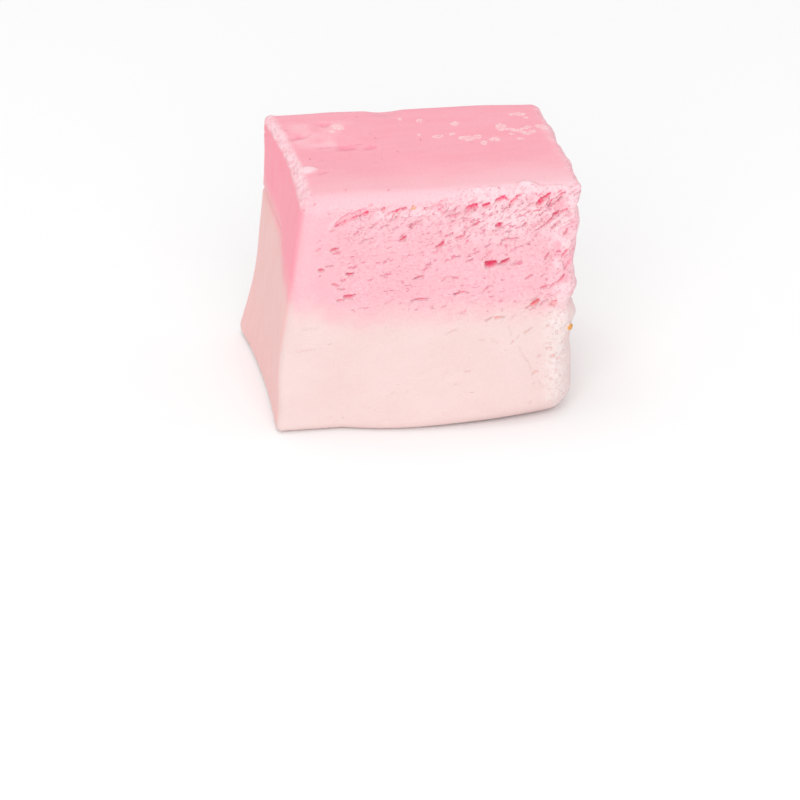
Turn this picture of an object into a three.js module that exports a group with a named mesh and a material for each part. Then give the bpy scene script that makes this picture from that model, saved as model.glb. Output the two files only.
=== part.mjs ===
// A cube of two-layer fudge, pink over cream, standing on its flat foot. Its left side is a clean knife
// cut. The front, right and back broke away in tears that the set pink layer shows most.
// Millimetres. +X runs right along the front, +Y to the back, +Z up; the origin is under the middle.

import * as THREE from 'three';

// ---- Driving dimensions ------------------------------------------------------------------------

const HALF_WIDTH = 15;
const HALF_DEPTH = 10;
const HEIGHT = 26;

// Where each corner of the block really is, and how round it is: x, y, z, radius.
// A side is named by where it lies (left or right, front or back) and a level by foot or top.
const CORNERS = {
  leftFrontFoot: [-16.1, -10.9, 0, 0.9],
  rightFrontFoot: [15.45, -12.2, 0, 3.2],
  leftBackFoot: [-16.15, 13.2, 0, 1.1],
  rightBackFoot: [14.85, 11.6, 0, 2.0],
  leftFrontTop: [-12.65, -10.15, 25.9, 2.0],
  rightFrontTop: [16.3, -10.15, 25.4, 1.1],
  leftBackTop: [-13.45, 9.75, 26.3, 0.7],
  rightBackTop: [15.55, 8.95, 26.0, 1.4],
};

// The edges keep the left corners' radius up to this share of the width, then turn to the right's.
const RADIUS_FROM = 0.3;

// The front spreads forward at the foot: where along x, how far to each side, how far and how high.
const FRONT_BULGE = { x: 4, halfWidth: 13, reach: 1.8, height: 15 };

// The left side is hollow between its corners: at mid height by the back, along its foot and along
// the edge of the top face.
const LEFT_HOLLOW = { middle: 1.0, foot: 0.7, top: 0.6 };
const RIGHT_HOLLOW = 0.45;

// The cream layer's upper face: low along the front, higher to the back and most of all at the left.
const SEAM_HEIGHT = 12.5;
const SEAM_LEFT_LIFT = { start: -7, end: -15, height: 1.4 };
const SEAM_BACK_RISE = { left: 4.6, right: 2.2, reach: 5 };
const SEAM_WAVE = { length: 4, height: 0.3 };

// Tears in the front: middle x and z, half length, half height, tilt in degrees, depth.
const FRONT_TEARS = [
  [-8.1, 23.6, 2.4, 0.5, 22, 0.75],
  [-2.8, 21.0, 0.8, 0.3, 27, 0.45],
  [-9.7, 20.4, 0.9, 0.3, 13, 0.4],
  [-8.1, 17.6, 0.7, 0.35, 22, 0.5],
  [-8.2, 15.2, 0.7, 0.4, 21, 0.5],
  [4.5, 23.9, 0.9, 0.6, 34, 0.95],
  [6.0, 23.8, 0.65, 0.5, 29, 0.8],
  [7.3, 24.4, 0.8, 0.45, 33, 0.75],
  [9.1, 24.2, 1.1, 0.4, 57, 0.6],
  [11.6, 23.6, 0.7, 0.55, 48, 0.9],
  [12.4, 24.3, 0.7, 0.5, 46, 0.85],
  [13.7, 24.3, 0.8, 0.4, 24, 0.7],
  [2.9, 23.0, 1.1, 0.35, 12, 0.5],
  [4.8, 22.0, 0.9, 0.4, 26, 0.55],
  [7.2, 21.5, 0.6, 0.45, 44, 0.7],
  [12.6, 21.4, 2.1, 0.35, 33, 0.7],
  [0.9, 19.9, 0.9, 0.4, 27, 0.5],
  [6.5, 17.5, 0.9, 0.55, 20, 1.2],
  [7.8, 17.4, 1.0, 0.3, 16, 0.8],
  [11.9, 17.7, 1.1, 0.35, 43, 0.6],
  [10.2, 16.0, 0.9, 0.4, 26, 0.5],
  [-0.4, 16.7, 1.0, 0.35, 14, 0.5],
  [-0.8, 14.3, 1.4, 0.35, 2, 0.6],
  [3.0, 14.5, 1.2, 0.35, 12, 0.55],
  [10.8, 12.9, 1.3, 0.5, 29, 0.9],
];

// A tear is steeper above its middle than below, and its ends curl up: as shares of its half height.
const TEAR_SECTION = { above: 0.7, below: 1.3, curl: 0.35, floor: 0.25 };

// Small tears fill the torn faces between those, one for each cell of a grid whose rows climb more
// and more steeply to the right. A tear's place and half sizes are shares of its cell, and `few` and
// `many` are the shares of the cells that have one.
const SMALL_TEARS = { length: 1.9, height: 0.95, depth: 0.36, size: [0.55, 1.2], few: 0.35, many: 0.75 };
const SMALL_TEAR_IN_CELL = { along: [0.2, 0.8], up: [0.3, 0.7], halfLength: 0.62, halfHeight: 0.52 };
const ROW_SLOPE = { left: 0.16, right: 0.7 };

// Where the front is torn: it fades in over these stretches of x (which leans with z) and of z.
const FRONT_TORN = { x: [-12.5, -8], lean: 0.25, leanFrom: 20, z: [11, 14.5], rise: 0.12, top: [25.4, 24.6] };
const FRONT_WORST = { x: [-6, 12], z: [16, 24] };
const BROKEN_TORN = { z: [11, 15], top: [25.6, 24.8] };

// The groove that the top face's skin overhangs, along the front. It wanders and comes and goes.
const LIP_GROOVE = { start: [-7.3, -5.3], end: [15.2, 14], z: 23.9, rise: 0.04, halfHeight: 0.45 };
const LIP_WANDER = { length: 1.7, height: 0.3 };
const LIP_DEPTH = { mean: 0.27, change: 0.225, length: 1.3 };

// Broad dents in the top face: x, y, radius along x and y, depth.
const TOP_DENTS = [
  [-1.1, 9.0, 2.6, 2.4, 0.4],
  [-10.7, 4.2, 1.6, 0.5, 0.12],
  [-6.3, 1.7, 1.1, 0.6, 0.16],
  [-3.8, 1.1, 0.9, 0.5, 0.12],
  [-7.7, 6.4, 0.9, 0.6, 0.12],
];

// Lumps and notches down the right side where it meets the front: z, half height, how far out.
const EDGE_LUMPS = [
  [22.8, 0.6, -0.35],
  [20.8, 1.6, 0.25],
  [16.6, 1.8, -0.25],
  [13.8, 1.0, 0.3],
  [12.3, 0.55, -0.45],
  [10.9, 0.9, 0.4],
  [8.0, 2.0, -0.15],
];
const EDGE_LUMP_REACH = { full: -9, end: -5 };

// Slow waves over the whole block, lumps on the broken sides, crumbs on all that is torn, and the
// groove that runs under the pink layer's lip on the cut side.
const WAVE = { length: 7.5, height: 0.22 };
const LUMP = { length: 3.1, height: 0.42, smooth: 0.45 };
const CRUMB = { length: 1.1, height: 0.1, front: 0.15, sides: 0.4 };
const SEAM_GROOVE = { halfHeight: 0.45, depth: 0.28, y: [-8, -2] };
const SEEDS = { seam: 7.5, front: 11, frontCrumbs: 21.5, lip: 3.5, lipDepth: 8.5, right: 31, back: 41 };

// The relief dies out this far above the foot, so the foot stays flat.
const FLAT_FOOT = 1.5;

// ---- Mesh resolution ---------------------------------------------------------------------------

const COLUMNS = { front: 64, right: 28, back: 28, left: 14 };
const PINK_ROWS = 25;
const CREAM_ROWS = 11;
const TOP_INSETS = [0.45, 0.9, 1.5, 2.4, 3.8, 5.8, 8];
const FOOT_INSETS = [3.2, 1.6, 0.6];
const HUB = [[-11, -7], [11, -7], [0, 6]];

// How much closer the columns stand at the corners than between them.
const CROWDING = 0.35;

// ---- Numbers -----------------------------------------------------------------------------------

const clamp = (value, low, high) => Math.min(Math.max(value, low), high);
const mix = (a, b, t) => a + (b - a) * t;
const ramp = (low, high, value) => {
  const t = clamp((value - low) / (high - low), 0, 1);
  return t * t * (3 - 2 * t);
};

// A number from 0 to 1 that depends only on three whole numbers.
function hash(i, j, k) {
  let h = Math.imul(i, 374761393) + Math.imul(j, 668265263) + Math.imul(k, 1103515245);
  h = Math.imul(h ^ (h >>> 13), 1274126177);
  return ((h ^ (h >>> 16)) >>> 0) / 4294967296;
}

// Smooth noise from -1 to 1: random values on a cubic lattice, blended between its points.
function noise(x, y, z) {
  const [i, j, k] = [x, y, z].map(Math.floor);
  const [u, v, w] = [x - i, y - j, z - k].map((t) => t * t * (3 - 2 * t));
  const row = (b, c) => mix(hash(i, j + b, k + c), hash(i + 1, j + b, k + c), u);
  return 2 * mix(mix(row(0, 0), row(1, 0), v), mix(row(0, 1), row(1, 1), v), w) - 1;
}

// ---- The plain block ---------------------------------------------------------------------------

// Entry n of the corners' rows (x, y, z or radius), blended between them. The shares s, t and w run
// from 0 to 1 to the right, to the back and up.
function blend(n, s, t, w) {
  const across = (left, right) => mix(CORNERS[left][n], CORNERS[right][n], s);
  const foot = mix(across('leftFrontFoot', 'rightFrontFoot'), across('leftBackFoot', 'rightBackFoot'), t);
  const top = mix(across('leftFrontTop', 'rightFrontTop'), across('leftBackTop', 'rightBackTop'), t);
  return mix(foot, top, w);
}

const shares = (x, y, z) => [(x / HALF_WIDTH + 1) / 2, (y / HALF_DEPTH + 1) / 2, z / HEIGHT];

// How far the left side goes in at a height and a depth, both as shares.
function leftHollow(t, w) {
  const arch = 4 * t * (1 - t);
  return LEFT_HOLLOW.middle * 4 * w * (1 - w) * ramp(0.1, 1, t)
    + LEFT_HOLLOW.foot * arch * (1 - w) ** 3
    + LEFT_HOLLOW.top * arch * w ** 5;
}

// A point of the plain box, moved to where the block has it.
function shaped(x, y, z) {
  const [s, t, w] = shares(x, y, z);
  const [px, py, pz] = [0, 1, 2].map((n) => blend(n, s, t, w));
  const across = clamp(1 - ((px - FRONT_BULGE.x) / FRONT_BULGE.halfWidth) ** 2, 0, 1);
  const low = clamp(1 - pz / FRONT_BULGE.height, 0, 1) ** 2;
  return new THREE.Vector3(
    px + (1 - s) * leftHollow(t, w) - s * RIGHT_HOLLOW * 4 * w * (1 - w),
    py - (1 - t) * FRONT_BULGE.reach * across * low,
    pz,
  );
}

// A point on the sharp box, rounded over the nearest edge; gives the point and the way it faces.
function rounded(x, y, z) {
  const [s, t, w] = shares(x, y, z);
  const radius = blend(3, ramp(RADIUS_FROM, 1, s), t, w);
  const core = [
    clamp(x, radius - HALF_WIDTH, HALF_WIDTH - radius),
    clamp(y, radius - HALF_DEPTH, HALF_DEPTH - radius),
    clamp(z, radius, HEIGHT - radius),
  ];
  const way = new THREE.Vector3(x - core[0], y - core[1], z - core[2]).normalize();
  return { point: core.map((c, n) => c + radius * way.getComponent(n)), way };
}

const seamRise = (x) => mix(SEAM_BACK_RISE.left, SEAM_BACK_RISE.right, (x + HALF_WIDTH) / (2 * HALF_WIDTH));

// Height of the face between the layers, at a place in the box.
function seamHeight(x, y) {
  const fromFront = y + HALF_DEPTH;
  return SEAM_HEIGHT + SEAM_LEFT_LIFT.height * ramp(SEAM_LEFT_LIFT.start, SEAM_LEFT_LIFT.end, x)
    + seamRise(x) * (1 - Math.exp(-fromFront / SEAM_BACK_RISE.reach))
    + SEAM_WAVE.height * noise(x / SEAM_WAVE.length, y / SEAM_WAVE.length, SEEDS.seam);
}

// ---- Relief ------------------------------------------------------------------------------------

// One pit, 1 deep at its middle.
function pit(along, up, halfLength, halfHeight) {
  const a = along / halfLength;
  const lifted = up - TEAR_SECTION.curl * halfHeight * a * a;
  const b = lifted / (halfHeight * (lifted > 0 ? TEAR_SECTION.above : TEAR_SECTION.below));
  return ramp(1, TEAR_SECTION.floor, Math.hypot(a, b));
}

function tear(x, z, [tearX, tearZ, halfLength, halfHeight, tilt, depth]) {
  const angle = THREE.MathUtils.degToRad(tilt);
  const [dx, dz] = [x - tearX, z - tearZ];
  const along = dx * Math.cos(angle) + dz * Math.sin(angle);
  const up = dz * Math.cos(angle) - dx * Math.sin(angle);
  return depth * pit(along, up, halfLength, halfHeight);
}

// A place on a side, s along it and z up, in cells of the small tears' grid: along its row and up.
function inCells(s, z) {
  const run = s + HALF_WIDTH;
  const steepening = (ROW_SLOPE.right - ROW_SLOPE.left) / (4 * HALF_WIDTH);
  return [s / SMALL_TEARS.length, (z - ROW_SLOPE.left * run - steepening * run * run) / SMALL_TEARS.height];
}

// Depth of the small tears at a place on a side. `share` of the cells have one, and each row is
// shifted half a cell against the row below.
function smallTears(s, z, share, seed) {
  const [a, b] = inCells(s, z);
  const { along, up, halfLength, halfHeight } = SMALL_TEAR_IN_CELL;
  let depth = 0;
  for (let row = Math.floor(b) - 1; row <= Math.floor(b) + 1; row++) {
    const shifted = a + row / 2;
    for (let column = Math.floor(shifted) - 1; column <= Math.floor(shifted) + 1; column++) {
      if (hash(column, row, seed) > share) continue;
      const size = mix(...SMALL_TEARS.size, hash(column, row, seed + 1));
      const da = shifted - column - mix(...along, hash(column, row, seed + 2));
      const db = b - row - mix(...up, hash(column, row, seed + 3));
      depth = Math.max(depth, size * pit(da, db, halfLength * size, halfHeight * size));
    }
  }
  return SMALL_TEARS.depth * depth;
}

// How torn the front is, from 0 to 1: clean at its left end and in the cream layer.
function frontTorn(x, z) {
  const f = FRONT_TORN;
  return ramp(...f.x, x + f.lean * (z - f.leanFrom)) * ramp(...f.z, z + f.rise * x) * ramp(...f.top, z);
}

function lipGroove(x, z) {
  const g = LIP_GROOVE;
  const middle = g.z + g.rise * x + LIP_WANDER.height * noise(x / LIP_WANDER.length, SEEDS.lip, 0.5);
  const depth = LIP_DEPTH.mean + LIP_DEPTH.change * noise(x / LIP_DEPTH.length, SEEDS.lipDepth, 0.5);
  const section = ramp(1.5, 0.3, Math.abs(z - middle) / g.halfHeight);
  return depth * ramp(...g.start, x) * ramp(...g.end, x) * section;
}

const crumbs = (s, z, seed) => CRUMB.height * noise(s / CRUMB.length, z / CRUMB.length, seed);

function frontRelief(x, z) {
  const torn = frontTorn(x, z);
  const tears = FRONT_TEARS.map((one) => tear(x, z, one));
  const worst = ramp(...FRONT_WORST.x, x) * ramp(...FRONT_WORST.z, z);
  const small = smallTears(x, z, mix(SMALL_TEARS.few, SMALL_TEARS.many, worst), SEEDS.front);
  const deepest = Math.max(...tears, torn * small, lipGroove(x, z));
  return (CRUMB.front + torn) * crumbs(x, z, SEEDS.frontCrumbs) - deepest;
}

function brokenRelief(s, z, seed) {
  const torn = ramp(...BROKEN_TORN.z, z) * ramp(...BROKEN_TORN.top, z);
  const lumps = LUMP.height * mix(LUMP.smooth, 1, torn) * noise(s / LUMP.length, z / LUMP.length, seed + 0.5);
  const small = smallTears(s, z, (SMALL_TEARS.few + SMALL_TEARS.many) / 2, seed);
  return lumps + (CRUMB.sides + torn) * crumbs(s, z, seed + 4.5) - torn * small;
}

function rightRelief(y, z) {
  const atFront = ramp(EDGE_LUMP_REACH.end, EDGE_LUMP_REACH.full, y);
  const lump = ([at, half, out]) => out * ramp(1, 0, Math.abs(z - at) / half);
  const lumps = EDGE_LUMPS.reduce((sum, one) => sum + lump(one), 0);
  return mix(brokenRelief(y, z, SEEDS.right), lumps, atFront);
}

function cutRelief(y, z, seam) {
  const below = Math.abs(z - seam + SEAM_GROOVE.halfHeight) / SEAM_GROOVE.halfHeight;
  return -SEAM_GROOVE.depth * ramp(1, 0, below) * ramp(...SEAM_GROOVE.y, y);
}

function topRelief(x, y) {
  return -TOP_DENTS.reduce((sum, [dentX, dentY, halfX, halfY, depth]) =>
    sum + depth * ramp(1, 0, Math.hypot((x - dentX) / halfX, (y - dentY) / halfY)), 0);
}

// How far the surface stands off the rounded block, each side's relief counting as far as the
// surface faces that way.
function relief({ x, y, z }, way, seam) {
  const wave = WAVE.height * noise(x / WAVE.length, y / WAVE.length, z / WAVE.length);
  const front = way.y < 0 ? frontRelief(x, z) : brokenRelief(-x, z, SEEDS.back);
  const side = way.x > 0 ? rightRelief(y, z) : cutRelief(y, z, seam);
  const top = way.z > 0 ? topRelief(x, y) : 0;
  return wave + way.y ** 2 * front + way.x ** 2 * side + way.z ** 2 * top;
}

// The block's surface at a place on the sharp box.
function surface(x, y, z) {
  const { point, way } = rounded(x, y, z);
  const place = shaped(...point);
  const off = relief(place, way, seamHeight(x, y)) * clamp(place.z / FLAT_FOOT, 0, 1);
  return place.addScaledVector(way, off);
}

// ---- Rings and caps ----------------------------------------------------------------------------

// The columns, once round the box from the left front corner, as x and y from -1 to 1.
function columns() {
  const crowd = (count) => Array.from({ length: count }, (_, n) => n / count)
    .map((t) => 2 * (t - CROWDING * Math.sin(4 * Math.PI * t) / (4 * Math.PI)) - 1);
  return [
    ...crowd(COLUMNS.front).map((t) => [t, -1]),
    ...crowd(COLUMNS.right).map((t) => [1, t]),
    ...crowd(COLUMNS.back).map((t) => [-t, 1]),
    ...crowd(COLUMNS.left).map((t) => [-1, -t]),
  ];
}

const AROUND = columns();

// One closed ring of points: the columns drawn in from the box's edge by `inset`, at a height that
// may change round the ring.
function ring(inset, heightAt) {
  return AROUND.map(([u, v]) => {
    const [x, y] = [u * (HALF_WIDTH - inset), v * (HALF_DEPTH - inset)];
    return surface(x, y, heightAt(x, y));
  });
}

const wallRings = (count, low, high) => Array.from({ length: count + 1 }, (_, n) =>
  ring(0, (x, y) => mix(low(x, y), high(x, y), n / count)));

// A closed body: rings from the lowest to the highest, sewn together, with a cap on each end.
// A cap joins its ring to three hub points or, for the top face, to one.
function body(rings, lowHub, highHub) {
  const points = [...rings.flat(), ...lowHub, ...highHub];
  const count = AROUND.length;
  const faces = [];
  for (let level = 0; level < rings.length - 1; level++) {
    for (let n = 0; n < count; n++) {
      const [a, b] = [level * count + n, level * count + (n + 1) % count];
      faces.push([a, b, b + count], [a, b + count, a + count]);
    }
  }
  const lowStart = rings.length * count;
  faces.push(...cap(points, 0, lowStart, lowHub.length).map(([a, b, c]) => [a, c, b]));
  faces.push(...cap(points, lowStart - count, lowStart + lowHub.length, highHub.length));
  const geometry = new THREE.BufferGeometry().setFromPoints(points);
  geometry.setIndex(faces.flat());
  geometry.computeVertexNormals();
  return geometry;
}

// Triangles from the ring that starts at `first` to the hub points that start at `hub`, facing up.
function cap(points, first, hub, hubCount) {
  const count = AROUND.length;
  const nearest = (n) => {
    const gaps = points.slice(hub, hub + hubCount).map((one) => one.distanceTo(points[first + n]));
    return gaps.indexOf(Math.min(...gaps));
  };
  const faces = [];
  for (let n = 0; n < count; n++) {
    const next = (n + 1) % count;
    const [near, nextNear] = [nearest(n), nearest(next)];
    faces.push([first + n, first + next, hub + near]);
    if (near !== nextNear) faces.push([first + next, hub + nextNear, hub + near]);
  }
  if (hubCount === 3) faces.push([hub, hub + 1, hub + 2]);
  return faces;
}

// ---- The two layers ----------------------------------------------------------------------------

const ground = () => 0;
const lid = () => HEIGHT;
const seamHub = HUB.map(([x, y]) => shaped(x, y, seamHeight(x, y)));

function creamLayer() {
  const foot = FOOT_INSETS.map((inset) => ring(inset, ground));
  const footHub = HUB.map(([x, y]) => new THREE.Vector3(x, y, 0));
  return body([...foot, ...wallRings(CREAM_ROWS, ground, seamHeight)], footHub, seamHub);
}

function pinkLayer() {
  const top = TOP_INSETS.map((inset) => ring(inset, lid));
  return body([...wallRings(PINK_ROWS, seamHeight, lid), ...top], seamHub, [surface(0, 0, HEIGHT)]);
}

function layer(name, geometry, color) {
  const material = new THREE.MeshStandardMaterial({ color, roughness: 0.6, metalness: 0 });
  const mesh = new THREE.Mesh(geometry, material);
  mesh.name = name;
  return mesh;
}

const fudge = new THREE.Group();
fudge.name = 'fudge_cube';
fudge.add(layer('cream_layer', creamLayer(), 0xf8ded6));
fudge.add(layer('pink_layer', pinkLayer(), 0xffb9c5));

export default fudge;
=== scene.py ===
"""A cube of two-layer fudge, pink over cream, on a pale floor in soft studio light.

Its left side is a clean knife cut. The front, right and back broke away in tears, which the pink
layer shows most. Both layers are one surface, worked out on a grid that runs round the block.
"""
import math

import bpy
import numpy as np
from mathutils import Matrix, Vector


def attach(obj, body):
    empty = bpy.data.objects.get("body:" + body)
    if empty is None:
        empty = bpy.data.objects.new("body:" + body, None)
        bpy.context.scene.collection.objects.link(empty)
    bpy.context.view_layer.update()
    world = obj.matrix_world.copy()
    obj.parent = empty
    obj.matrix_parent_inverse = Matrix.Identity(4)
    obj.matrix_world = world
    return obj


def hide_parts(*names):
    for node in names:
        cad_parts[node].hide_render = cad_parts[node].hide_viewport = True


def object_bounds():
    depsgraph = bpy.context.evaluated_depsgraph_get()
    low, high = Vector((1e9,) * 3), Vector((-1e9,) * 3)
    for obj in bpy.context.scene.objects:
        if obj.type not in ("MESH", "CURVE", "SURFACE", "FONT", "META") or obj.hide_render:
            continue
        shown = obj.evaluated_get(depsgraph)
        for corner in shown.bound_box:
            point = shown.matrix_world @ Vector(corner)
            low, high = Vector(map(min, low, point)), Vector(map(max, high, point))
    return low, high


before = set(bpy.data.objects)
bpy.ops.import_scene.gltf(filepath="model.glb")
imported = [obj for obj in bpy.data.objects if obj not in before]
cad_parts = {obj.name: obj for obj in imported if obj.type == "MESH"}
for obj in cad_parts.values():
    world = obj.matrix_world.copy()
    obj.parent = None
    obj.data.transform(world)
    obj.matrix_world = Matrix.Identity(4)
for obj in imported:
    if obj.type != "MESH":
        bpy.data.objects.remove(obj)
CAD_BOX = [list(corner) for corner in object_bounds()]

# ---- Driving dimensions, in millimetres ----

# Most pairs fade something in, with none of it at the first value and all of it at the second. The
# others run from least to most, or from left to right. A length is one wave of a noise. pale says
# how pale a place is, and change how much noise varies that.

MM = 0.001

HALF_WIDTH = 15.0
HALF_DEPTH = 10.0
HEIGHT = 26.0

# Where each corner of the block really is, and how round it is: x, y, z, radius. The rows run
# left front, right front, left back, right back.
FOOT_CORNERS = [
    [-16.1, -10.9, 0.0, 0.9],
    [15.45, -12.2, 0.0, 3.2],
    [-16.15, 13.2, 0.0, 1.1],
    [14.85, 11.6, 0.0, 2.0],
]
TOP_CORNERS = [
    [-12.65, -10.15, 25.9, 2.0],
    [16.3, -10.15, 25.4, 1.1],
    [-13.45, 9.75, 26.3, 0.7],
    [15.55, 8.95, 26.0, 1.4],
]

# The edges keep the left corners' radius up to this share of the width, then turn to the right's.
RADIUS_FROM = 0.3

# The front spreads forward at the foot, and the sides are hollow between their corners.
FRONT_BULGE = {"x": 4.0, "half_width": 13.0, "reach": 1.8, "height": 15.0}
LEFT_HOLLOW = {"middle": 1.0, "foot": 0.7, "top": 0.6, "grows": [0.1, 1.0]}
RIGHT_HOLLOW = 0.45

# The left front edge bows out to the left, most at this height.
EDGE_BOW = {"z": 8.3, "half_height": 7.0, "reach": 0.65}

# Where the layers meet: low along the front, higher to the back and most of all at the left.
SEAM_HEIGHT = 12.5
SEAM_LEFT_LIFT = {"start": -7.0, "end": -15.0, "height": 1.4}
SEAM_BACK_RISE = {"left": 4.6, "right": 2.2, "reach": 5.0}
SEAM_WAVE = {"length": 4.0, "height": 0.3}

# Tears in the front: middle x and z, half length, half height, tilt in degrees, depth.
FRONT_TEARS = [
    # Under the lip.
    [-8.5, 23.6, 1.8, 0.8, 208, 0.3],
    [-7.0, 24.2, 1.4, 0.7, 194, 0.32],
    [-8.9, 23.2, 1.1, 0.17, 26, 0.45],
    [-7.4, 23.75, 0.9, 0.18, 15, 0.5],
    [-6.4, 24.1, 0.5, 0.3, 25, 0.6],
    [-6.9, 24.2, 0.35, 0.12, 75, 0.42],
    [-4.6, 24.4, 0.35, 0.25, 24, 0.38],
    [-3.0, 24.1, 1.2, 0.25, 13, 0.42],
    [-0.2, 24.1, 0.5, 0.2, 13, 0.3],
    [4.6, 23.9, 0.75, 0.5, 13, 0.75],
    [6.0, 23.9, 0.55, 0.45, 13, 0.7],
    [7.5, 24.4, 0.65, 0.38, 19, 0.65],
    [8.9, 24.2, 0.7, 0.3, 52, 0.5],
    [11.6, 23.7, 0.6, 0.5, 41, 0.85],
    [12.4, 24.3, 0.7, 0.35, 40, 0.8],
    [13.8, 24.4, 0.6, 0.25, 24, 0.5],
    # Upper half.
    [-6.9, 22.5, 0.5, 0.2, 24, 0.3],
    [-7.3, 22.1, 0.4, 0.2, 24, 0.3],
    [-4.7, 22.5, 0.35, 0.16, 24, 0.25],
    [-3.3, 22.2, 0.4, 0.16, 29, 0.25],
    [-1.2, 22.5, 0.9, 0.18, 27, 0.32],
    [-6.4, 21.2, 0.9, 0.15, 10, 0.25],
    [-2.5, 21.0, 0.55, 0.32, 33, 0.6],
    [2.7, 23.0, 0.9, 0.3, 4, 0.45],
    [4.9, 21.9, 0.6, 0.3, 29, 0.45],
    [2.2, 21.0, 0.6, 0.22, 24, 0.4],
    [3.3, 20.6, 0.7, 0.3, 19, 0.4],
    [7.3, 21.6, 0.45, 0.42, 24, 0.7],
    [12.4, 21.5, 2.1, 0.2, 35, 0.5],
    [13.3, 22.2, 0.5, 0.28, 30, 0.7],
    [1.3, 19.9, 0.7, 0.35, 37, 0.65],
    [8.5, 20.0, 1.0, 0.15, 1, 0.3],
    [-9.7, 20.4, 0.75, 0.23, 13, 0.6],
    [-11.3, 20.5, 0.45, 0.15, 38, 0.2],
    # Lower half.
    [-11.05, 18.25, 0.45, 0.25, 13, 0.55],
    [-10.3, 18.55, 0.5, 0.13, 10, 0.25],
    [-8.1, 17.5, 0.6, 0.32, -5, 0.7],
    [-8.8, 16.9, 0.35, 0.2, -5, 0.3],
    [-9.6, 16.4, 0.55, 0.2, -5, 0.3],
    [-9.0, 15.9, 0.7, 0.2, -5, 0.3],
    [-8.2, 15.0, 0.7, 0.32, 1, 0.7],
    [-9.1, 14.7, 0.5, 0.16, 8, 0.35],
    [-1.0, 16.5, 0.8, 0.2, 10, 0.45],
    [-0.9, 14.1, 1.3, 0.18, 1, 0.4],
    [3.2, 14.4, 1.25, 0.16, 4, 0.3],
    [4.3, 18.0, 0.6, 0.2, 24, 0.35],
    [6.4, 17.5, 0.75, 0.6, -5, 1.2],
    [7.1, 17.4, 0.6, 0.16, 0, 0.6],
    [7.9, 17.6, 0.65, 0.28, 24, 0.9],
    [12.2, 17.7, 0.6, 0.16, 52, 0.35],
    [10.3, 15.6, 0.7, 0.17, 29, 0.35],
    [13.6, 15.1, 0.85, 0.28, 41, 0.4],
    [12.0, 14.4, 0.5, 0.22, 29, 0.45],
    [11.0, 12.8, 0.75, 0.5, 37, 0.7],
    [10.3, 12.4, 0.5, 0.2, 30, 0.35],
    [12.9, 12.5, 0.6, 0.4, 50, 0.35],
    [14.2, 18.0, 0.6, 0.3, 60, 0.45],
    [14.5, 16.5, 0.8, 0.35, 50, 0.4],
    [12.8, 14.6, 0.5, 0.15, 40, 0.3],
    [13.2, 21.0, 0.7, 0.2, 40, 0.35],
    [14.1, 22.5, 0.6, 0.25, 30, 0.4],
    [14.3, 20.2, 0.5, 0.2, 45, 0.35],
    [7.3, 11.45, 0.8, 0.28, 8, 0.35],
    [6.1, 11.35, 0.5, 0.16, 20, 0.25],
    [3.5, 12.3, 0.5, 0.25, 29, 0.25],
    # Scratches in the cream layer.
    [8.35, 10.0, 1.0, 0.11, -72, 0.1],
    [9.9, 6.8, 2.6, 0.11, -66, 0.1],
    [11.4, 4.1, 0.9, 0.11, -60, 0.08],
    [10.2, 9.8, 0.7, 0.17, 30, 0.2],
    [9.1, 9.2, 0.5, 0.13, 35, 0.14],
    [8.65, 8.85, 0.4, 0.18, 56, 0.18],
    [10.75, 5.25, 0.7, 0.16, 22, 0.2],
    [2.4, 10.3, 0.95, 0.15, 20, 0.15],
    [5.4, 9.25, 0.7, 0.12, -5, 0.12],
    [6.7, 9.0, 0.8, 0.13, -20, 0.12],
    [3.8, 6.05, 0.65, 0.14, 6, 0.14],
    [2.7, 4.8, 0.5, 0.13, 6, 0.12],
    [12.75, 6.8, 0.35, 0.25, 10, 0.19],
    [13.4, 6.5, 0.3, 0.28, 40, 0.2],
    [12.3, 7.7, 0.3, 0.2, 20, 0.2],
    [11.4, 7.0, 0.35, 0.13, 30, 0.14],
    [12.3, 10.2, 0.5, 0.18, 55, 0.15],
    [13.3, 9.4, 0.35, 0.2, 30, 0.2],
    [13.9, 8.2, 0.3, 0.22, 0, 0.2],
    [13.1, 5.2, 0.35, 0.2, 50, 0.2],
    [10.4, 2.3, 0.3, 0.18, 0, 0.16],
    [-12.95, 9.3, 1.9, 0.13, 6, 0.12],
    [-12.25, 11.7, 1.3, 0.13, 0, 0.12],
]

# A tear is steeper above its middle than below, and its ends curl up: shares of its half height.
# It is hollow to a share of its depth, and its painted shade follows all of it, a saturated pink
# for the light that scatters in the fudge.
# Its outline is jagged by two sizes of noise, each a length and a push.
TEAR_SECTION = {"above": 0.6, "below": 0.8, "curl": 0.3, "floor": 0.45, "hollow": 0.82,
                "jag": [[0.4, 0.08], [0.2, 0.08]]}

# Below a tear the crumb stands out in a ledge, by a share of the tear's depth, painted pale as a
# highlight where it catches the light, by a share of its height up to a most. It is a crescent that
# fades in towards the tear and downwards, over shares of the tear's half size, and out again where
# another tear gets this deep.
LEDGE = {"height": 0.18, "inwards": [1.8, 1.1], "down": [0.0, -0.7], "tear": 0.2,
         "pale": 1.2, "most_highlight": 0.4}

# Small tears fill the torn faces, one for each cell of a grid whose rows climb more and more
# steeply to the right. A tear's place and half sizes are shares of its cell, and few and many are
# the shares of the cells that have one.
SMALL_TEARS = {"length": 1.35, "height": 0.58, "depth": 0.2, "few": 0.05, "many": 0.52,
               "slope": [0.3, 0.62]}
LIP_TEARS = {"length": 0.95, "height": 0.5, "depth": 0.3, "few": 0.25, "many": 0.6,
             "slope": [0.75, 1.1]}
TEAR_SIZE = [0.5, 1.2]
TEAR_IN_CELL = {"along": [0.2, 0.8], "up": [0.3, 0.7], "half_length": 0.55, "half_height": 0.36}

# Two sizes of noise push the tears' outlines about, so that they come out ragged.
RAGGED = [{"length": 0.9, "push": 0.22}, {"length": 0.36, "push": 0.13}]

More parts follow.
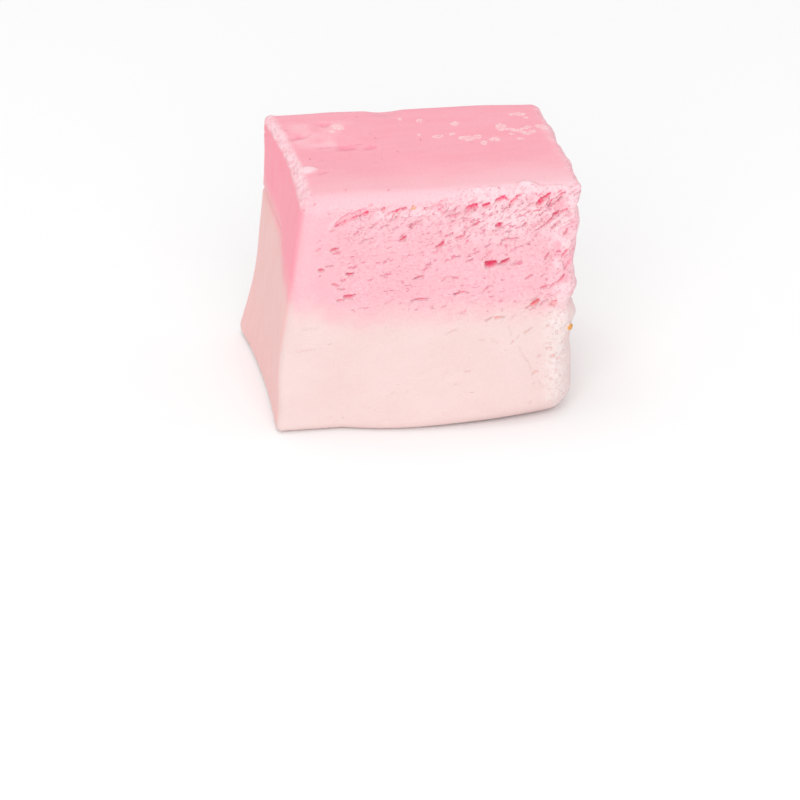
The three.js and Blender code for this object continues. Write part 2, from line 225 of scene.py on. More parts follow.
# Where the front is torn: it fades in over these stretches of x (which leans with z) and of z.
# The worst places fade in over x and z, each up to its own share. There it is also most broken.
FRONT_TORN = {"x": [-12.5, -8.0], "lean": 0.25, "lean_from": 20.0, "z": [9.5, 14.5],
              "rise": 0.12, "top": [25.4, 24.6], "broken": [0.35, 1.0]}
FRONT_WORST = [
    {"x": [-3.0, 8.0], "z": [17.5, 22.5], "share": 1.0},
    {"x": [11.0, 14.5], "z": [10.5, 14.0], "share": 0.7},
    {"x": [-11.0, -6.0], "z": [20.0, 22.5], "share": 0.4},
]

# The right and the back are torn above the seam, worst in patches.
BROKEN_TORN = {"above_seam": [-1.0, 1.5], "top": [25.6, 24.8], "patch": 4.5, "worst": [0.0, 0.6],
               "broken": [0.4, 0.75]}

# The groove that the top face's skin overhangs, along the front. It wanders and comes and goes.
LIP_GROOVE = {"start": [-7.3, -5.3], "end": [15.2, 14.0], "z": 23.9, "rise": 0.04,
              "half_height": 0.4, "section": [1.5, 0.3]}
LIP_WANDER = {"length": 1.7, "height": 0.3}
LIP_DEPTH = {"mean": 0.14, "change": 0.36, "length": 1.1}
LIP_TORN = {"start": [-7.5, -4.5], "z": [22.9, 23.5], "top": [24.8, 24.2]}

# The lip itself crumbles to the right of x, above z, and a clump of crumbs stands up on it.
LIP_CRUMBS = {"x": [1.0, 5.0], "z": [24.0, 24.7], "facing_front": [0.2, 0.5], "length": 0.6,
              "height": 0.28, "pale": 0.85, "broken": 0.7}
LIP_CLUMP = {"x": 10.3, "y": -9.6, "half_width": 1.5, "half_depth": 1.1, "section": [1.0, 0.2],
             "height": 0.42, "change": 0.7, "pale": 1.3}
LIP_BAND = {"y": [-8.9, -9.6], "wander": 0.5, "share": 0.75}

# The right edge of the top face crumbles by a share of what the lip does.
TOP_RIGHT_EDGE = {"facing_right": [0.1, 0.4], "facing_up": [0.2, 0.5], "share": 0.35,
                  "pale": 0.35, "change": 1.0}

# Broad dents in the top face: x, y, radius along x and y, depth.
TOP_DENTS = [
    [-1.1, 9.0, 2.2, 2.2, 0.36],
    [-10.7, 4.2, 1.6, 0.5, 0.12],
    [-6.3, 1.7, 1.1, 0.6, 0.16],
    [-3.8, 1.1, 0.9, 0.5, 0.12],
    [-7.7, 6.4, 0.9, 0.6, 0.12],
]

# Marks on the top face: middle x and y, half length, half width, tilt in degrees. Scores are
# pressed in and keep more colour, flecks are worn off, and one flake is lifted.
TOP_SCORES = [
    [-10.7, 4.2, 1.9, 0.4, 26],
    [-7.65, 6.4, 0.9, 0.6, 10],
    [-6.35, 1.35, 1.6, 0.7, 6],
    [-3.8, 1.05, 1.0, 0.45, 20],
    [-7.0, 1.9, 3.4, 0.2, 3],
    # The flake's shadow: a painted shadow, pressed in a little, in front of the flake.
    [-9.7, -3.9, 0.9, 0.35, 25],
]
TOP_FLECKS = [
    [-6.4, 5.7, 0.85, 0.71, -20],
    [2.2, 6, 0.57, 0.47, -10],
    [5.7, 4.7, 0.63, 0.47, 0],
    [3.4, 2.2, 0.68, 0.42, 0],
    [5.05, 2.45, 0.4, 0.36, 0],
    [6.6, 1.45, 1.37, 0.59, 0],
    [7.9, 0.25, 0.57, 0.47, -30],
    [9.05, 0.85, 0.63, 0.47, 0],
    [10.3, 3.4, 0.68, 0.89, 10],
    [11.2, 2.7, 0.57, 0.42, 0],
    [12, 2.4, 0.68, 0.47, 20],
    [12.9, 2.9, 0.68, 0.42, 30],
    [12.6, 1.8, 0.57, 0.36, -30],
    [13.3, 2, 0.57, 0.36, 20],
    [12.5, 6, 1.14, 0.47, 0],
    [11.75, 0.7, 0.4, 0.36, 0],
    [14.4, 2.95, 0.91, 0.47, -40],
    [1.6, 2.85, 0.34, 0.29, 0],
    [0.2, 6.6, 0.3, 0.25, 0],
    [13.2, 5.2, 0.3, 0.3, 30],
    [7.6, 1.9, 0.3, 0.25, 0],
    [10.9, 1.9, 0.25, 0.2, 0],
    [-7.2, 4.9, 0.4, 0.3, 40],
]
TOP_FLAKE = {"mark": [-11.1, -3.1, 1.15, 0.75, 18], "height": 0.2, "rise": 0.3, "pale": 0.2}
SCORE = {"depth": 0.1, "wall": 0.5, "tint": 0.42, "tinted": 0.6}

# Lumps and notches down the right side where it meets the front: z, half height, how far out.
EDGE_LUMPS = [
    [22.8, 0.6, -0.35],
    [20.8, 1.6, 0.25],
    [16.6, 1.8, -0.25],
    [13.8, 1.0, 0.3],
    [12.3, 0.55, -0.45],
    [10.6, 1.25, 0.4],
    [7.6, 1.9, -0.15],
]
EDGE_LUMP_REACH = {"full": -9.0, "end": -5.0, "broken": [0.15, 0.4]}

# Towards the right edge the front is lumpier, and its cream layer paler. The pink layer's lumps
# are rubbed pale there, and the hollows between them keep more colour.
FRONT_EDGE = {"x": [10.8, 13.6], "length": 0.95, "height": {"cream": 0.15, "pink": 0.2},
              "broken": 0.6, "pale": 0.85, "change": 0.8, "below_seam": [1.0, -1.5]}
EDGE_RUB = {"x": [11.8, 13.8], "facing_front": [0.0, 0.25], "above_seam": [-1.0, 1.0],
            "lumps": [-0.2, 0.25], "pale": 0.85, "hollows": [-0.1, -0.5], "tint": 0.2}

# Slow waves over the whole block, lumps on the broken sides, crumbs, grit and climbing ridges on
# all that is torn, and the groove that runs under the pink layer on the cut side.
WAVE = {"length": 7.5, "height": 0.22}
LUMP = {"length": 3.1, "height": 0.42, "smooth": 0.45}
CRUMB = {"length": 1.1, "height": 0.1, "front": 0.15, "sides": 0.4}
GRIT = {"length": 0.32, "height": 0.05}
RIDGES = {"length": 2.2, "height": 0.42, "out": 0.09, "slope": 0.42}
SEAM_GROOVE = {"half_height": 0.45, "depth": 0.28, "y": [-8.0, -2.0]}
SEEDS = {"seam": 7.5, "front": 11, "front_crumbs": 21.5, "lip": 3.5, "lip_depth": 8.5,
         "right": 31, "back": 41, "strokes": 51, "ragged": 61.5, "grit": 71.5, "lip_crumbs": 81.5,
         "burr": 91.5, "jag": 101.5, "front_edge": 111.5}

# The knife left a pale burr along the cut side's top edge, and the right edge crumbled.
BURR = {"x": [-13.8, -14.4], "facing_up": [-0.05, 0.45], "front": [-9.8, -7.5], "least": 0.35,
        "height": 0.13, "mean": 0.6, "length": 0.6, "pale": 0.7125, "change": 0.667, "broken": 0.55}

# The top face turns paler towards the front, most at the right, and its skin is worn thinner there
# by the share bare. The front is pale above the groove, partly with pale crumb and partly with a
# painted highlight on the rounded lip, and a little at its left end, a painted highlight where it
# rounds into the cut side.
MARGIN = {"y": [-2.1, -10.3], "power": 1.4, "shares": [0.38, 0.8], "bare": 0.4}
LIP_PALE_AND_HIGHLIGHT = {"z": [23.2, 25.2], "shares": [0.3, 0.8]}
FRONT_LEFT_HIGHLIGHT = {"x": [-10.0, -13.0], "share": 0.1}

# The right edge crumbled to a pale rim, which wanders, and the right side is a little paler all
# over. The top face is rubbed pale in patches.
RIM = {"x": [13.2, 14.8], "top": 0.75, "z": [3.0, 7.0], "wander": 0.6, "pale": 0.42, "change": 0.6}
RIGHT_PALE = {"pale": 0.3, "change": 0.5}
RUBBED = {"x": -8.3, "y": 4.6, "half_width": 5.5, "half_depth": 4.2, "section": [1.0, 0.4],
          "length": 1.1, "patches": [-0.6, 0.5], "pale": 0.45}

# Two specks of caramel: a bead on the right front edge, which stands out, and a smear on the lip.
# Each is whole up to a share of its radius.
AMBER_SPOTS = [
    {"at": [14.6, -10.6, 9.5], "radius": 0.5, "share": 1.0},
    {"at": [-1.45, -10.3, 24.25], "radius": 0.45, "share": 0.5},
]
AMBER_HEIGHT = 0.4
AMBER_WHOLE = 0.5

# The cut side's colour, a skin drawn darker and pinker with painted shade and pink bounce light,
# ends crisply where the edges start to turn away from it, and the knife dragged the pink down it,
# most in the middle. The top face shows a share of the same colour.
CUT_FROM = [0.5, 1.0]
DRAG = {"y": -2.4, "reach": 6.5, "height": 1.3}
TOP_SKIN_AND_SHADE = 0.52

# A tear this deep takes the full painted shade, a saturated pink for the light that scatters in the
# fudge, and its steep walls take a share of it, the ones that face up least.
FULL_SHADE_DEPTH = {"cream": 0.52, "pink": 1.2, "z": [10.0, 12.0], "power": 1.1}
STEEP_WALL_SHADE = {"lean": [0.04, 0.35], "facing_up": [0.0, 0.5], "spared": 0.85, "share": 0.42,
         "tear": 0.15}

# The relief dies out this far above the foot, so the foot stays flat.
FLAT_FOOT = 1.5

# ---- Grid ----

# How many columns each side has, how much they crowd towards the corners, how many rows each part
# has, and to what share of its edge a lid's last ring shrinks.
COLUMNS = {"front": 350, "right": 82, "back": 70, "left": 90}
CROWDING = 0.12
PINK_ROWS = 112
TOP_ROWS = 52
CREAM_ROWS = 88
FOOT_ROWS = 8
SEAM_ROWS = 3
LID_MIDDLE = 0.005


# ---- Numbers ----

def mix(a, b, t):
    return a + (b - a) * t


def ramp(low, high, value):
    """A smooth step: 0 at low, 1 at high, and 3 t squared - 2 t cubed between them."""
    t = np.clip((value - low) / (high - low), 0.0, 1.0)
    return t * t * (3.0 - 2.0 * t)


def chance(i, j, k):
    """A number from 0 to 1 that depends only on three whole numbers: their products with three
    large primes are added and stirred twice, all modulo 2 to the 32."""
    i, j, k = (np.asarray(n).astype(np.int64) for n in (i, j, k))
    h = (i * 374761393 + j * 668265263 + k * 1103515245) & 0xFFFFFFFF
    h = ((h ^ (h >> 13)) * 1274126177) & 0xFFFFFFFF
    return (h ^ (h >> 16)) / 4294967296.0


def noise(x, y, z):
    """Smooth noise from -1 to 1: random values on a cubic lattice, blended between its points."""
    i, j, k = np.floor(x), np.floor(y), np.floor(z)
    u, v, w = (t * t * (3.0 - 2.0 * t) for t in (x - i, y - j, z - k))

    def row(b, c):
        return mix(chance(i, j + b, k + c), chance(i + 1, j + b, k + c), u)

    return 2.0 * mix(mix(row(0, 0), row(1, 0), v), mix(row(0, 1), row(1, 1), v), w) - 1.0


# ---- The plain block ----

def shares(x, y, z):
    """How far a place in the box is to the right, to the back and up, each from 0 to 1."""
    return (x / HALF_WIDTH + 1.0) / 2.0, (y / HALF_DEPTH + 1.0) / 2.0, z / HEIGHT


def blend(n, s, t, w):
    """Entry n of the corners' rows, blended between the eight corners in straight lines."""
    foot = mix(mix(FOOT_CORNERS[0][n], FOOT_CORNERS[1][n], s),
               mix(FOOT_CORNERS[2][n], FOOT_CORNERS[3][n], s), t)
    top = mix(mix(TOP_CORNERS[0][n], TOP_CORNERS[1][n], s),
              mix(TOP_CORNERS[2][n], TOP_CORNERS[3][n], s), t)
    return mix(foot, top, w)


def left_hollow(t, w):
    """How far the left side goes in: a parabola up the side that grows to the back, and two
    arches from front to back that die away from the foot and from the top."""
    arch = 4.0 * t * (1.0 - t)
    return (LEFT_HOLLOW["middle"] * 4.0 * w * (1.0 - w) * ramp(*LEFT_HOLLOW["grows"], t)
            + LEFT_HOLLOW["foot"] * arch * (1.0 - w) ** 3
            + LEFT_HOLLOW["top"] * arch * w ** 5)


def shaped(x, y, z):
    """A point of the plain box, moved to where the block has it: the corners' blend, plus the
    hollows in x, less the front's bulge, which falls off as a square above the foot, in y. The
    left front edge's bow, a smooth bump up the edge, falls off as a cube behind it."""
    s, t, w = shares(x, y, z)
    px, py, pz = (blend(n, s, t, w) for n in range(3))
    across = np.clip(1.0 - ((px - FRONT_BULGE["x"]) / FRONT_BULGE["half_width"]) ** 2, 0.0, 1.0)
    low = np.clip(1.0 - pz / FRONT_BULGE["height"], 0.0, 1.0) ** 2
    bow = ramp(1.0, 0.0, np.abs(pz - EDGE_BOW["z"]) / EDGE_BOW["half_height"]) * (1.0 - t) ** 3
    px = px + (1.0 - s) * (left_hollow(t, w) - EDGE_BOW["reach"] * bow)
    px = px - s * RIGHT_HOLLOW * 4.0 * w * (1.0 - w)
    py = py - (1.0 - t) * FRONT_BULGE["reach"] * across * low
    return np.stack([px, py, pz], axis=-1)


def rounded(x, y, z):
    """A point on the sharp box, rounded over the nearest edge: the nearest point of a box smaller
    by the radius, plus the radius times the way from there. Gives the point and the way."""
    s, t, w = shares(x, y, z)
    radius = blend(3, ramp(RADIUS_FROM, 1.0, s), t, w)
    core = np.stack([np.clip(x, radius - HALF_WIDTH, HALF_WIDTH - radius),
                     np.clip(y, radius - HALF_DEPTH, HALF_DEPTH - radius),
                     np.clip(z, radius, HEIGHT - radius)], axis=-1)
    way = np.stack([x, y, z], axis=-1) - core
    way = way / np.linalg.norm(way, axis=-1, keepdims=True)
    return core + radius[..., None] * way, way


def seam_height(x, y):
    """Height of the face between the layers: lifted at the left, rising to the back towards a
    limit, and waved by noise."""
    rise = mix(SEAM_BACK_RISE["left"], SEAM_BACK_RISE["right"], (x + HALF_WIDTH) / (2 * HALF_WIDTH))
    from_front = y + HALF_DEPTH
    length = SEAM_WAVE["length"]
    return (SEAM_HEIGHT
            + SEAM_LEFT_LIFT["height"] * ramp(SEAM_LEFT_LIFT["start"], SEAM_LEFT_LIFT["end"], x)
            + rise * (1.0 - np.exp(-from_front / SEAM_BACK_RISE["reach"]))
            + SEAM_WAVE["height"] * noise(x / length, y / length, SEEDS["seam"]))


# ---- Tears ----

def ragged(s, z):
    """Places along a side and up it, pushed about by noise of two sizes."""
    moved_s, moved_z = s, z
    for n, size in enumerate(RAGGED):
        a, b = s / size["length"], z / size["length"]
        moved_s = moved_s + size["push"] * noise(a, b, SEEDS["ragged"] + n)
        moved_z = moved_z + size["push"] * noise(a, b, SEEDS["ragged"] + n + 5)
    return moved_s, moved_z


def jagged(s, z):
    """How far a tear's outline is pushed in or out at each place."""
    return sum(push * noise(s / length, z / length, SEEDS["jag"] + length)
               for length, push in TEAR_SECTION["jag"])


def pit(along, up, half_length, half_height, jag):
    """One pit and the ledge below it, each 1 at most. The pit is an ellipse whose upper half is
    lower than its lower half and whose ends curl up, with a flat floor and a smooth wall. The
    ledge is a crescent round its lower half. jag is a share of the pit's size."""
    a = along / half_length
    lifted = up - TEAR_SECTION["curl"] * half_height * a * a
    steep = np.where(lifted > 0.0, TEAR_SECTION["above"], TEAR_SECTION["below"])
    b = lifted / (half_height * steep)
    reach = np.hypot(a, b) + jag
    hollow = ramp(1.0, TEAR_SECTION["floor"], reach)
    return hollow, ramp(*LEDGE["inwards"], reach) * ramp(*LEDGE["down"], b) * (1.0 - hollow)


def tear(x, z, jag, tear_x, tear_z, half_length, half_height, tilt, depth):
    """Depth of one tear and height of its ledge: a pit turned by its tilt about its middle."""
    angle = math.radians(tilt)
    along = (x - tear_x) * math.cos(angle) + (z - tear_z) * math.sin(angle)
    up = (z - tear_z) * math.cos(angle) - (x - tear_x) * math.sin(angle)
    size = math.sqrt(half_length * half_height)
    hollow, ledge = pit(along, up, half_length, half_height, jag / size)
    return depth * hollow, depth * ledge


def deepest(tears):
    """Of several tears, the deepest depth and the highest ledge at each place."""
    depths, ledges = zip(*tears)
    return np.maximum.reduce(depths), np.maximum.reduce(ledges)


def tears_in_cells(s, z, jag, share, seed, kind):
    """The tears of one kind, s along a side and z up. In each cell of a grid whose rows climb as
    a parabola, a random draw says whether there is a tear, its size and its place. Each row is
    shifted half a cell against the row below. share runs from few to many."""
    run = s + HALF_WIDTH
    slope, end_slope = kind["slope"]
    a = s / kind["length"]
    b = (z - slope * run - (end_slope - slope) / (4 * HALF_WIDTH) * run * run) / kind["height"]
    chosen = mix(kind["few"], kind["many"], share)
    middling = math.sqrt(TEAR_IN_CELL["half_length"] * kind["length"]
                         * TEAR_IN_CELL["half_height"] * kind["height"])
    found = []
    for up_row in (-1, 0, 1):
        row = np.floor(b) + up_row
        shifted = a + row / 2.0
        for right in (-1, 0, 1):
            column = np.floor(shifted) + right
            size = mix(*TEAR_SIZE, chance(column, row, seed + 1))
            along = shifted - column - mix(*TEAR_IN_CELL["along"], chance(column, row, seed + 2))
            up = b - row - mix(*TEAR_IN_CELL["up"], chance(column, row, seed + 3))
            hollow, ledge = pit(along, up, TEAR_IN_CELL["half_length"] * size,
                                TEAR_IN_CELL["half_height"] * size, jag / middling)
            depth = np.where(chance(column, row, seed) > chosen, 0.0, kind["depth"] * size)
            found.append((depth * hollow, depth * ledge))
    return deepest(found)


def front_torn(x, z):
    """How torn the front is, from 0 to 1: clean at its left end and in the cream layer."""
    f = FRONT_TORN
    return (ramp(*f["x"], x + f["lean"] * (z - f["lean_from"]))
            * ramp(*f["z"], z + f["rise"] * x) * ramp(*f["top"], z))


def front_worst(x, z):
    """Where small tears crowd together, from 0 to 1: the largest of the worst places' shares."""
    return np.maximum.reduce([w["share"] * ramp(*w["x"], x) * ramp(*w["z"], z)
                              for w in FRONT_WORST])


def lip_groove(x, z):
    """Depth of the groove under the lip: a smooth channel whose height and depth wander."""
    g = LIP_GROOVE
    middle = (g["z"] + g["rise"] * x
              + LIP_WANDER["height"] * noise(x / LIP_WANDER["length"], SEEDS["lip"], 0.5))
    depth = (LIP_DEPTH["mean"]
             + LIP_DEPTH["change"] * noise(x / LIP_DEPTH["length"], SEEDS["lip_depth"], 0.5))
    section = ramp(*g["section"], np.abs(z - middle) / g["half_height"])
    return np.maximum(depth, 0.0) * ramp(*g["start"], x) * ramp(*g["end"], x) * section


def crumbs(s, z, seed):
    """Round crumbs, and long low ridges that climb to the right: two noises, one drawn out."""
    ridge = noise(s / RIDGES["length"], (z - RIDGES["slope"] * s) / RIDGES["height"], seed + 0.5)
    return (CRUMB["height"] * noise(s / CRUMB["length"], z / CRUMB["length"], seed)
            + RIDGES["out"] * ridge)


def edge_lumps(x, z):
    """The lumps of the front's right edge: one noise, from -1 to 1."""
    return noise(x / FRONT_EDGE["length"], z / FRONT_EDGE["length"], SEEDS["front_edge"])


# ---- Relief of each side ----
# Each gives how far the surface stands out, how deep the tears are, how high their ledges stand
# and how broken the place is.

def front_relief(x, z):
    """The front: crumbs and ledges, less the deepest of all tears."""
    torn = front_torn(x, z)
    worst = front_worst(x, z)
    lip = ramp(*LIP_TORN["start"], x) * ramp(*LIP_TORN["z"], z) * ramp(*LIP_TORN["top"], z)
    a, b = ragged(x, z)
    jag = jagged(x, z)
    small, small_ledge = tears_in_cells(a, b, jag, worst, SEEDS["front"], SMALL_TEARS)
    strokes, stroke_ledge = tears_in_cells(a, b, jag, worst, SEEDS["strokes"], LIP_TEARS)
    listed, listed_ledge = deepest([tear((x + a) / 2.0, (z + b) / 2.0, jag, *one)
                                    for one in FRONT_TEARS])
    tears = np.maximum.reduce([listed, lip_groove(a, b), torn * small, lip * strokes])
    ledges = np.maximum.reduce([listed_ledge, torn * small_ledge, lip * stroke_ledge])
    ledges = ledges * (1.0 - ramp(0.0, LEDGE["tear"], tears))
    broken = torn * mix(*FRONT_TORN["broken"], worst)
    off = (CRUMB["front"] + broken) * crumbs(x, z, SEEDS["front_crumbs"])
    edge = ramp(*FRONT_EDGE["x"], x)
    height = mix(FRONT_EDGE["height"]["cream"], FRONT_EDGE["height"]["pink"], torn)
    off = off + height * edge * edge_lumps(x, z)
    broken = np.maximum.reduce([broken, lip, FRONT_EDGE["broken"] * edge])
    return off + LEDGE["height"] * ledges - TEAR_SECTION["hollow"] * tears, tears, ledges, broken


def broken_relief(s, z, seam, seed):
    """A broken side: lumps, crumbs and ledges, less small tears. Slow noise puts the worst
    patches."""
    torn = ramp(*BROKEN_TORN["above_seam"], z - seam) * ramp(*BROKEN_TORN["top"], z)
    patch = noise(s / BROKEN_TORN["patch"], z / BROKEN_TORN["patch"], seed + 2.5)
    worst = ramp(*BROKEN_TORN["worst"], patch)
    a, b = ragged(s, z)
    small, ledges = tears_in_cells(a, b, jagged(s, z), worst, seed, SMALL_TEARS)
    off = (CRUMB["sides"] + torn) * crumbs(s, z, seed + 4.5)
    off = off + (LUMP["height"] * mix(LUMP["smooth"], 1.0, torn)
                 * noise(s / LUMP["length"], z / LUMP["length"], seed + 0.5))
    off = off + torn * (LEDGE["height"] * ledges - TEAR_SECTION["hollow"] * small)
    return off, torn * small, torn * ledges, torn * mix(*BROKEN_TORN["broken"], worst)


def right_relief(y, z, seam):
    """The right side: lumps of its own where it meets the front, broken behind."""
    lumps = sum(out * ramp(1.0, 0.0, np.abs(z - at) / half) for at, half, out in EDGE_LUMPS)
    off, tears, ledges, torn = broken_relief(y, z, seam, SEEDS["right"])
    behind = ramp(EDGE_LUMP_REACH["full"], EDGE_LUMP_REACH["end"], y)
    edge = mix(*EDGE_LUMP_REACH["broken"], ramp(*BROKEN_TORN["above_seam"], z - seam))
    return mix(lumps, off, behind), tears * behind, ledges * behind, mix(edge, torn, behind)


def cut_relief(y, z, seam):
    """The cut side: one groove just under the seam, in its back half."""
    below = np.abs(z - seam + SEAM_GROOVE["half_height"]) / SEAM_GROOVE["half_height"]
    groove = -SEAM_GROOVE["depth"] * ramp(1.0, 0.0, below) * ramp(*SEAM_GROOVE["y"], y)
    return groove, 0.0 * y, 0.0 * y, 0.0 * y


def mark(x, y, mark_x, mark_y, half_length, half_width, tilt):
    """One mark on the top face: an ellipse turned by its tilt, 0 at its edge and 1 in its
    middle."""
    angle = math.radians(tilt)
    along = (x - mark_x) * math.cos(angle) + (y - mark_y) * math.sin(angle)
    across = (y - mark_y) * math.cos(angle) - (x - mark_x) * math.sin(angle)
    return np.clip(1.0 - np.hypot(along / half_length, across / half_width), 0.0, 1.0)


def top_marks(x, y):
    """Masks of the top face's scores, worn flecks and lifted flake."""
    a, b = ragged(x, y)
    scores = np.maximum.reduce([mark(a, b, *one) for one in TOP_SCORES])
    flecks = np.maximum.reduce([mark(a, b, *one) for one in TOP_FLECKS])
    return scores, flecks, mark((a + x) / 2.0, (b + y) / 2.0, *TOP_FLAKE["mark"])


def top_relief(x, y):
    """The top face: its broad dents."""
    return -sum(depth * ramp(1.0, 0.0, np.hypot((x - dent_x) / half_x, (y - dent_y) / half_y))
                for dent_x, dent_y, half_x, half_y, depth in TOP_DENTS)


# ---- The whole surface ----

def near(place, spot):
    """The share that a small round spot has inside it, fading to 0 outside."""
    away = sum((place[..., n] - spot["at"][n]) ** 2 for n in range(3)) ** 0.5
    return spot["share"] * ramp(spot["radius"], AMBER_WHOLE * spot["radius"], away)


def steepness(points, way):
    """How steep a wall is, 0 to 1: a smooth step of one less the cosine between the side's way
    and the surface's own, less the share that a wall is spared for facing up. The surface's way
    is square to the neighbours along the row and up the column."""
    along = np.roll(points, -1, axis=1) - np.roll(points, 1, axis=1)
    normal = np.cross(along, np.gradient(points, axis=0))
    normal = normal / np.maximum(np.linalg.norm(normal, axis=-1, keepdims=True), 1e-12)
    lean = 1.0 - np.abs((normal * way).sum(axis=-1))
    up = ramp(*STEEP_WALL_SHADE["facing_up"], normal[..., 2] - way[..., 2])
    return ramp(*STEEP_WALL_SHADE["lean"], lean) * (1.0 - STEEP_WALL_SHADE["spared"] * up)


def oval(x, y, shape):
    """How far out a place is in an ellipse seen from above: 0 in its middle and 1 at its edge."""
    return np.hypot((x - shape["x"]) / shape["half_width"], (y - shape["y"]) / shape["half_depth"])


class Places:
    """Places of one patch of the surface before its relief: where they are, which way they face,
    how far each side counts there, and what crumbled, stands up or is marked. x, y and z are
    those on the sharp box."""

    def __init__(self, x, y, z):
        point, self.way = rounded(x, y, z)
        self.at = shaped(point[..., 0], point[..., 1], point[..., 2])
        self.x, self.y, self.z = (self.at[..., n] for n in range(3))
        self.seam = seam_height(x, y)
        self.above_seam = z - self.seam
        self.to_right = x / (2 * HALF_WIDTH) + 0.5
        facing_x, facing_y, facing_z = (self.way[..., n] for n in range(3))

        self.front, self.right = facing_y < 0.0, facing_x > 0.0
        self.by_x, self.by_y = facing_x ** 2, facing_y ** 2
        self.by_front = self.by_y * self.front
        self.by_top = np.where(facing_z > 0.0, facing_z ** 2, 0.0)
        self.cut = ramp(*CUT_FROM, self.by_x) * ~self.right
        self.dragged = ramp(1.0, 0.0, np.abs(y - DRAG["y"]) / DRAG["reach"])
        start, full = MARGIN["y"]
        self.forward = np.clip((start - self.y) / (start - full), 0.0, 1.0)

        # Noises for grit, for crumbs along the edges and for nicks in the burr.
        self.grit, self.lumps, self.nicks = (
            noise(self.x / length, self.z / length, self.y / length + seed)
            for length, seed in ((GRIT["length"], SEEDS["grit"]),
                                 (LIP_CRUMBS["length"], SEEDS["lip_crumbs"]),
                                 (BURR["length"], SEEDS["burr"])))
        self.lip = (ramp(*LIP_CRUMBS["x"], self.x) * ramp(*LIP_CRUMBS["z"], self.z)
                    * ramp(*LIP_CRUMBS["facing_front"], -facing_y))
        self.edge = (ramp(*TOP_RIGHT_EDGE["facing_right"], facing_x)
                     * ramp(*TOP_RIGHT_EDGE["facing_up"], facing_z))
        self.clump = self.by_top * ramp(*LIP_CLUMP["section"], oval(self.x, self.y, LIP_CLUMP))
        self.burr = (ramp(*BURR["x"], x) * ramp(*BURR["facing_up"], facing_z)
                     * mix(BURR["least"], 1.0, ramp(*BURR["front"], y)))
        self.edge_rub = (ramp(*EDGE_RUB["facing_front"], self.by_y) * self.front
                         * ramp(*EDGE_RUB["x"], self.x)
                         * ramp(*EDGE_RUB["above_seam"], self.above_seam))
        self.scores, self.flecks, self.flake = (
            self.by_top * mask for mask in top_marks(self.x, self.y))


def relief(p):
    """How far the surface stands out at its places, how deep the tears are, how high their ledges
    stand and how broken it is. Each side's own relief counts as the square of how far the surface
    faces that way."""
    along = [np.where(p.front, f, b) for f, b in zip(
        front_relief(p.x, p.z), broken_relief(-p.x, p.z, p.seam, SEEDS["back"]))]
    across = [np.where(p.right, r, c) for r, c in zip(
        right_relief(p.y, p.z, p.seam), cut_relief(p.y, p.z, p.seam))]
    off, tears, ledges, broken = (p.by_y * a + p.by_x * c for a, c in zip(along, across))
    wave = WAVE["length"]
    off = off + p.by_top * top_relief(p.x, p.y)
    off = off + WAVE["height"] * noise(p.x / wave, p.y / wave, p.z / wave)
    off = off + GRIT["height"] * (broken + p.lip + p.burr) * p.grit
    off = off + LIP_CRUMBS["height"] * (p.lip + TOP_RIGHT_EDGE["share"] * p.edge) * p.lumps
    off = off + LIP_CLUMP["height"] * p.clump * (1.0 + LIP_CLUMP["change"] * p.lumps)
    off = off + BURR["height"] * p.burr * (BURR["mean"] + p.nicks)
    off = off + TOP_FLAKE["height"] * ramp(0.0, TOP_FLAKE["rise"], p.flake)
    off = off - SCORE["depth"] * ramp(0.0, SCORE["wall"], p.scores)
    off = off + AMBER_HEIGHT * near(p.at, AMBER_SPOTS[0])
    return off * np.clip(p.z / FLAT_FOOT, 0.0, 1.0), tears, ledges, broken


def paleness(p, ledges):
    """How pale each place is: the palest of all that makes it so, painted highlights on the ledges,
    the lip and the front's left end among them. What crumbled is unevenly pale, by one plus a share
    of noise."""
    def uneven(kind, mask, bumps):
        return kind["pale"] * mask * (1.0 + kind["change"] * bumps)

    # The lip's pale band is partly a painted highlight on its rounded edge.
    towards_lip = (mix(*MARGIN["shares"], p.to_right) * p.by_top * p.forward ** MARGIN["power"]
                   + mix(*LIP_PALE_AND_HIGHLIGHT["shares"], p.to_right) * p.by_front * ramp(*LIP_PALE_AND_HIGHLIGHT["z"], p.z))
    front_edge = (p.by_front * ramp(*FRONT_EDGE["x"], p.x)
                  * ramp(*FRONT_EDGE["below_seam"], p.above_seam))
    rim = (ramp(*RIM["x"], p.x - RIM["top"] * p.by_top + RIM["wander"] * p.lumps)
           * ramp(*RIM["z"], p.z))
    length = RUBBED["length"]
    rubbed = (p.by_top * ramp(*RUBBED["section"], oval(p.x, p.y, RUBBED))
              * ramp(*RUBBED["patches"], noise(p.x / length, p.y / length, 0.5)))
    band = (ramp(*LIP_CRUMBS["x"], p.x) * p.by_top
            * ramp(*LIP_BAND["y"], p.y + LIP_BAND["wander"] * p.lumps))
    return np.maximum.reduce([
        towards_lip,
        # The front's left end: a painted highlight where it rounds into the cut side.
        FRONT_LEFT_HIGHLIGHT["share"] * p.by_front * ramp(*FRONT_LEFT_HIGHLIGHT["x"], p.x),
        uneven(RIGHT_PALE, p.by_x * p.right, p.lumps),
        uneven(FRONT_EDGE, front_edge, p.grit),
        uneven(RIM, rim, p.grit),
        uneven(BURR, p.burr, p.grit),
        uneven(TOP_RIGHT_EDGE, p.edge, p.lumps),
        EDGE_RUB["pale"] * p.edge_rub * ramp(*EDGE_RUB["lumps"], edge_lumps(p.x, p.z)),
        RUBBED["pale"] * rubbed,
        LIP_BAND["share"] * band,
        LIP_CRUMBS["pale"] * p.lip,
        LIP_CLUMP["pale"] * p.clump,
        ramp(0.0, TOP_FLAKE["pale"], p.flake),
        # A ledge's pale is a painted highlight.
        np.clip(LEDGE["pale"] * ledges, 0.0, LEDGE["most_highlight"]),
    ])


